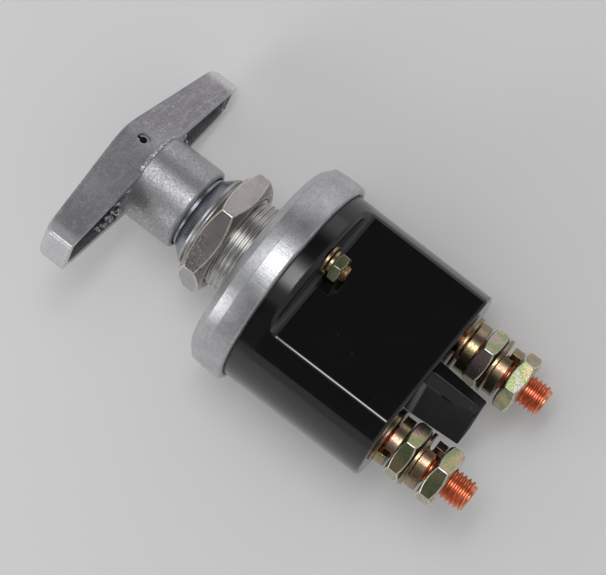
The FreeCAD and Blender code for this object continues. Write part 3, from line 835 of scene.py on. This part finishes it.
# %% The cover's outline, turned
shaft_bore, neck_radius, neck_start_z, neck_end_z, neck_round = 6.1, 11.6, 22.2, 29.8, 0.5
flare_centre, flare_round = (14.5, 18.25), 0.5
bushing_radius, bushing_root, bushing_end_z, bushing_run_in = 15.0, 14.1, 17.8, 0.6
bushing_ridge_span, bushing_run_out, cover_facets = (1.4, 17.0), 0.7, 256
undercut_radius, undercut_top_z, undercut_slope, groove_radius, groove_z = 13.7, 1.6, 0.4, 15.6, -0.3
front_edge, shoulder_edge, edge_round = (31.57, -0.6), (33.92, -2.69), 0.6
band_radius, band_z, rim_radius, rim_z = 34.8, -6.0, 34.95, -6.15
roll_centre, roll_width, roll_height = (33.05, -11.6), 1.9, 1.0
lip_radius, lip_low_z, lip_top_z, skirt_radius, recess_z = 32.55, -12.2, -11.3, 33.45, -4.0
cover_outline = [
    (shaft_bore, neck_end_z), (neck_radius - neck_round, neck_end_z),
    *arc((neck_radius - neck_round, neck_end_z - neck_round), (neck_round, neck_round), 80, 0, 4),
    (neck_radius, neck_start_z),
    *arc(flare_centre, (flare_round, flare_round), 45, 0, 3),
    (bushing_radius, bushing_end_z), (bushing_root, bushing_end_z - bushing_run_in),
    (bushing_root, undercut_top_z), (undercut_radius, undercut_top_z - undercut_slope),
    (undercut_radius, groove_z),
    (groove_radius, groove_z), (groove_radius, 0.0),
    *arc(front_edge, (edge_round, edge_round), 90, 48, 3),
    *arc(shoulder_edge, (edge_round, edge_round), 48, 5, 4),
    (band_radius, band_z), (rim_radius, rim_z),
    *arc(roll_centre, (roll_width, roll_height), 0, -90, 10),
    (lip_radius, lip_low_z), (lip_radius, lip_top_z), (skirt_radius, lip_top_z),
    (skirt_radius, recess_z), (shaft_bore, recess_z)]
settle(spun("cover_turned", cover_outline, 0.0, cover_facets), "cover_casting", "case", ["cover"])
thread("bushing_thread", "bushing_metal", bushing_root, bushing_radius, coarse_pitch, bushing_ridge_span,
       bushing_run_out)


# %% [markdown]
# ## The bead that the die leaves
# Where the arms meet the hub the die parts, and metal creeps into the gap as a rough bead. The tree sweeps
# a small circle along that arc, lets one noise swell it and another shift it, and a seed input keeps the
# two sides different but the same on every run.

# %% The bead tree
bead_steps, bead_sides = 160, 8
swell_scale, shake_scale, shake_reach = 900.0, 1500.0, 0.0009
bead_radius, bead_z, bead_thickness, bead_sweep = 13.65, 41.2, 1.35, math.radians(80)


def bead_tree():
    t = Grower("casting_bead", "Radius", "Level", "Thickness", "Start", "Sweep", "Seed")
    radius, level, thickness, start, sweep, seed = t.numbers

    def rough(scale, output):
        return t.node("ShaderNodeTexNoise", {"noise_dimensions": "4D"}, output=output, Scale=scale, Detail=3,
                      W=seed)

    path = t.node("GeometryNodeCurveArc", Resolution=bead_steps, Radius=radius, Start_Angle=start,
                  Sweep_Angle=sweep)
    section = t.node("GeometryNodeCurvePrimitiveCircle", Resolution=bead_sides, Radius=thickness)
    bead = t.node("GeometryNodeCurveToMesh", Curve=path, Profile_Curve=section, Fill_Caps=True,
                  Scale=rough(swell_scale, "Fac"))
    centred = t.node("ShaderNodeVectorMath", {"operation": "SUBTRACT"}, i0=rough(shake_scale, "Color"),
                     i1=(0.5, 0.5, 0.5))
    shake = t.node("ShaderNodeVectorMath", {"operation": "SCALE"}, i0=centred, Scale=shake_reach)
    shaken = t.node("GeometryNodeSetPosition", Geometry=bead, Offset=shake)
    height = t.node("ShaderNodeCombineXYZ", Z=level)
    t.end(t.node("GeometryNodeTransform", Geometry=shaken, Translation=height))
    return t


beads = bead_tree()
for k, side_angle in enumerate((270, 90)):
    grown("handle_bead_%d" % (k + 1), beads, "casting_flash", "handle",
          {"Radius": bead_radius, "Level": bead_z, "Thickness": bead_thickness},
          Start=math.radians(side_angle) + handle_turn - bead_sweep / 2, Sweep=bead_sweep, Seed=3 + k)


# %% [markdown]
# ## Lumps in the pockets
# The ejector pins and the gate leave rough lumps in the hollows of the arms, next to the hub. Each lump is
# a small sphere whose points are pushed in and out by smooth noise, placed one by one where it is seen. A
# displacement texture on the handle would give less control over each lump.

# %% Lumps beside the hub
lump_detail, lump_flatness = 3, 0.8
coarse_push, coarse_scale, fine_push, fine_scale = 0.5, 1.6, 0.2, 5
near_hub = [
    (14.6, 3.6, 40.7, 1.7, 1.1), (14.0, -6.4, 40.6, 0.9, 0.8), (14.3, 4.6, 41.7, 1.8, 1.5),
    (17.0, 6.3, 41.9, 1.5, 1.4), (19.9, 6.9, 41.8, 1.2, 1.3), (14.8, 0.4, 42.0, 1.4, 1.3),
    (22.6, 6.8, 42.4, 1.0, 1.4)]


def lumps(name, places, seed):
    """Rough lumps; each place is (x, y, z, across, tall) in millimetres along the handle's own axes."""
    work = bmesh.new()
    turn = Matrix.Rotation(handle_turn, 4, "Z")
    for k, (x, y, z, across, tall) in enumerate(places):
        for vertex in bmesh.ops.create_icosphere(work, subdivisions=lump_detail, radius=1.0)["verts"]:
            push = coarse_push * noise.noise(vertex.co * coarse_scale + Vector((seed, k, 0)))
            rough = 1 + push + fine_push * noise.noise(vertex.co * fine_scale)
            spot = Vector((vertex.co.x * across, vertex.co.y * across * lump_flatness, vertex.co.z * tall))
            vertex.co = turn @ ((spot * rough + Vector((x, y, z))) * MM)
    settle(built(name, work), "casting_flash", "handle")


lumps("pocket_lumps_pos_x", near_hub, 4.0)
lumps("pocket_lumps_neg_x", [(-x, *rest) for x, *rest in near_hub], 9.0)


# %% [markdown]
# ## The thin rib down the barrier
# A thin rib runs down the edge of the wall between the studs and fades out towards its free end. It is
# two thirds of a millimetre across, too fine for the solid, so flattened half rounds are joined here.

# %% Barrier rib
rib_top_z, rib_length, rib_steps, rib_fade_steps, rib_end_share = -61.6, 16.2, 24, 2, 0.2
rib_y, rib_lean, rib_half_width, rib_flatness, rib_foot = -13.66, 0.38, 0.34, 0.7, 0.4
half_round_steps = 8


def barrier_rib():
    work = bmesh.new()
    rings = []
    for k in range(rib_steps + 1):
        z = rib_top_z - rib_length * k / rib_steps
        y = rib_y + rib_lean * k / rib_steps
        half = rib_half_width * min(1.0, (rib_steps - k) / rib_fade_steps + rib_end_share)
        angles = [math.pi * j / half_round_steps for j in range(half_round_steps + 1)]
        section = [(half * math.cos(a), y - half * rib_flatness * math.sin(a)) for a in angles]
        section += [(-half, y + rib_foot), (half, y + rib_foot)]
        rings.append([work.verts.new((across * MM, out * MM, z * MM)) for across, out in section])
    join_rings(work, rings)
    work.faces.new(rings[0])
    work.faces.new(rings[-1])
    bmesh.ops.recalc_face_normals(work, faces=work.faces)
    settle(built("barrier_rib", work), "black_moulding", "case")


barrier_rib()


# %% [markdown]
# ## Backdrop
# The switch is photographed from 0.73 m with a long lens. A pale sheet stands close behind it and catches
# its shadow. A level floor would cut across the picture, because the camera is rolled. Seen from behind,
# the sheet lets the eye through, so every side of the switch can be looked at.

# %% Backdrop sheet
camera_place = Vector((-257.93, -671.91, -100.94)) * MM
toward = camera_place.copy()
toward.z = 0
toward.normalize()
sheet_behind, sheet_reach = 35.6, 1.6
sheet_white = (0.93, 0.93, 0.93)


def staged(name, corners, material):
    """A four-sided sheet that belongs to the studio and not to the switch."""
    mesh = bpy.data.meshes.new(name)
    mesh.from_pydata(corners, [], [(0, 1, 2, 3)])
    mesh.materials.append(material)
    made = linked(name, mesh)
    return made


def backdrop():
    side = Vector((0, 0, 1)).cross(toward)
    back = toward * -sheet_behind * MM
    corners = [back + side * a * sheet_reach + Vector((0, 0, b * sheet_reach))
               for a, b in ((-1, -1), (1, -1), (1, 1), (-1, 1))]
    f = Finish("backdrop_sheet", Base_Color=sheet_white, Roughness=0.9, Specular_IOR_Level=0.1)
    f.over(f.node("ShaderNodeNewGeometry", output="Backfacing"), "ShaderNodeBsdfTransparent")
    staged("backdrop", corners, f.material)


backdrop()
print("backdrop faces", toward)


# %% [markdown]
# ## Lamps and cards
# Metal and gloss show what they mirror, so each lamp is placed for the faces that mirror it: a broad key
# and a bright core near the camera for the rim and the front faces, one high at the side for the rim's end
# and the shelf, and two side lights. Two dark cards give the metal its dark sides, which no lamp can.

# %% Place the lamps and cards
aim = Vector((0, 0, -20))
white = (1, 1, 1)


def around(turn, rise, away):
    """A point away mm from the switch, turned and raised in degrees from the camera's own heading."""
    heading = math.atan2(toward.y, toward.x) + math.radians(turn)
    level = math.cos(math.radians(rise)) * away
    return Vector((math.cos(heading) * level, math.sin(heading) * level,
                   math.sin(math.radians(rise)) * away + aim.z))


def lamp(name, spot, size, level, tint):
    """A soft box whose face is as bright as level times a white sheet."""
    place = around(*spot)
    data = bpy.data.lights.new(name, "AREA")
    data.shape = "RECTANGLE"
    data.size, data.size_y = size[0] * MM, size[1] * MM
    data.energy = level * math.pi * data.size * data.size_y
    data.color = tint
    made = linked(name, data)
    made.location = place * MM
    made.rotation_euler = (aim - place).to_track_quat("-Z", "Y").to_euler()
    made.visible_camera = False


def card(name, spot, size):
    """A dark card, unseen by the camera, that the metal and the gloss mirror."""
    place = around(*spot)
    w, h = size[0] * MM / 2, size[1] * MM / 2
    made = staged(name, [(-w, -h, 0), (w, -h, 0), (w, h, 0), (-w, h, 0)], dark_felt)
    facing = (place - aim).to_track_quat("Z", "Y").to_matrix().to_4x4()
    made.matrix_world = Matrix.Translation(place * MM) @ facing
    made.visible_camera = False


felt = Finish("dark_felt")
dark_felt = felt.wear(Base_Color=felt.mix(felt.noise(20), (0.12, 0.12, 0.12), (0.16, 0.16, 0.16)),
                      Roughness=0.9 + felt.noise(5) * 0.05)
# Each row is a name, the turn, rise and distance for around, the size, the level and the tint.
for name, spot, size, level, tint in (
        ("key", (8, 7, 900), (480, 480), 1.2, white),
        ("core", (7, 2.1, 880), (300, 110), 8.7, white),
        ("high", (-60, 26, 560), (260, 200), 3.2, white),
        ("side", (86, 8, 700), (420, 600), 0.45, (1.0, 0.95, 1.0)),
        ("left", (-115, 8, 700), (480, 600), 2.4, (1.0, 0.97, 1.0))):
    lamp(name, spot, size, level, tint)
card("card_left", (-54, 12, 600), (640, 520))
card("card_right", (45, 12, 600), (330, 520))


# %% [markdown]
# ## World
# A plain white world fills the shadows, below full strength so that the lamps still shape the metal. The
# Standard view shows a colour about as it is written.

# %% Fill light and view
fill_level = 0.42
world = bpy.data.worlds.new("studio")
world.use_nodes = True
room = Tree(world.node_tree)
background = world.node_tree.nodes["Background"]
room.put(background.inputs["Color"], white)
room.put(background.inputs["Strength"], fill_level)
bpy.context.scene.world = world
bpy.context.scene.view_settings.view_transform = "Standard"
print("world level", fill_level)


# %% [markdown]
# ## Camera
# The camera was found by matching points on the switch to where the photograph shows them. The switch
# lies aslant in the frame because the camera is rolled; the switch itself stands upright. The matrix's
# columns are the camera's right, up and backward directions.

# %% Camera
eye = Matrix(((0.60444, 0.71197, -0.35743), (-0.13304, -0.35215, -0.92644), (-0.78547, 0.60753, -0.11813)))
lens_mm, sensor_mm, nearest_m, farthest_m = 147.74, 36, 0.05, 20
view = bpy.data.cameras.new("camera")
view.sensor_width = sensor_mm
view.lens = lens_mm
view.clip_start, view.clip_end = nearest_m, farthest_m
camera = linked("camera", view)
camera.matrix_world = Matrix.Translation(camera_place) @ eye.to_4x4()
bpy.context.scene.camera = camera
print("camera", [round(v, 3) for v in camera.location])
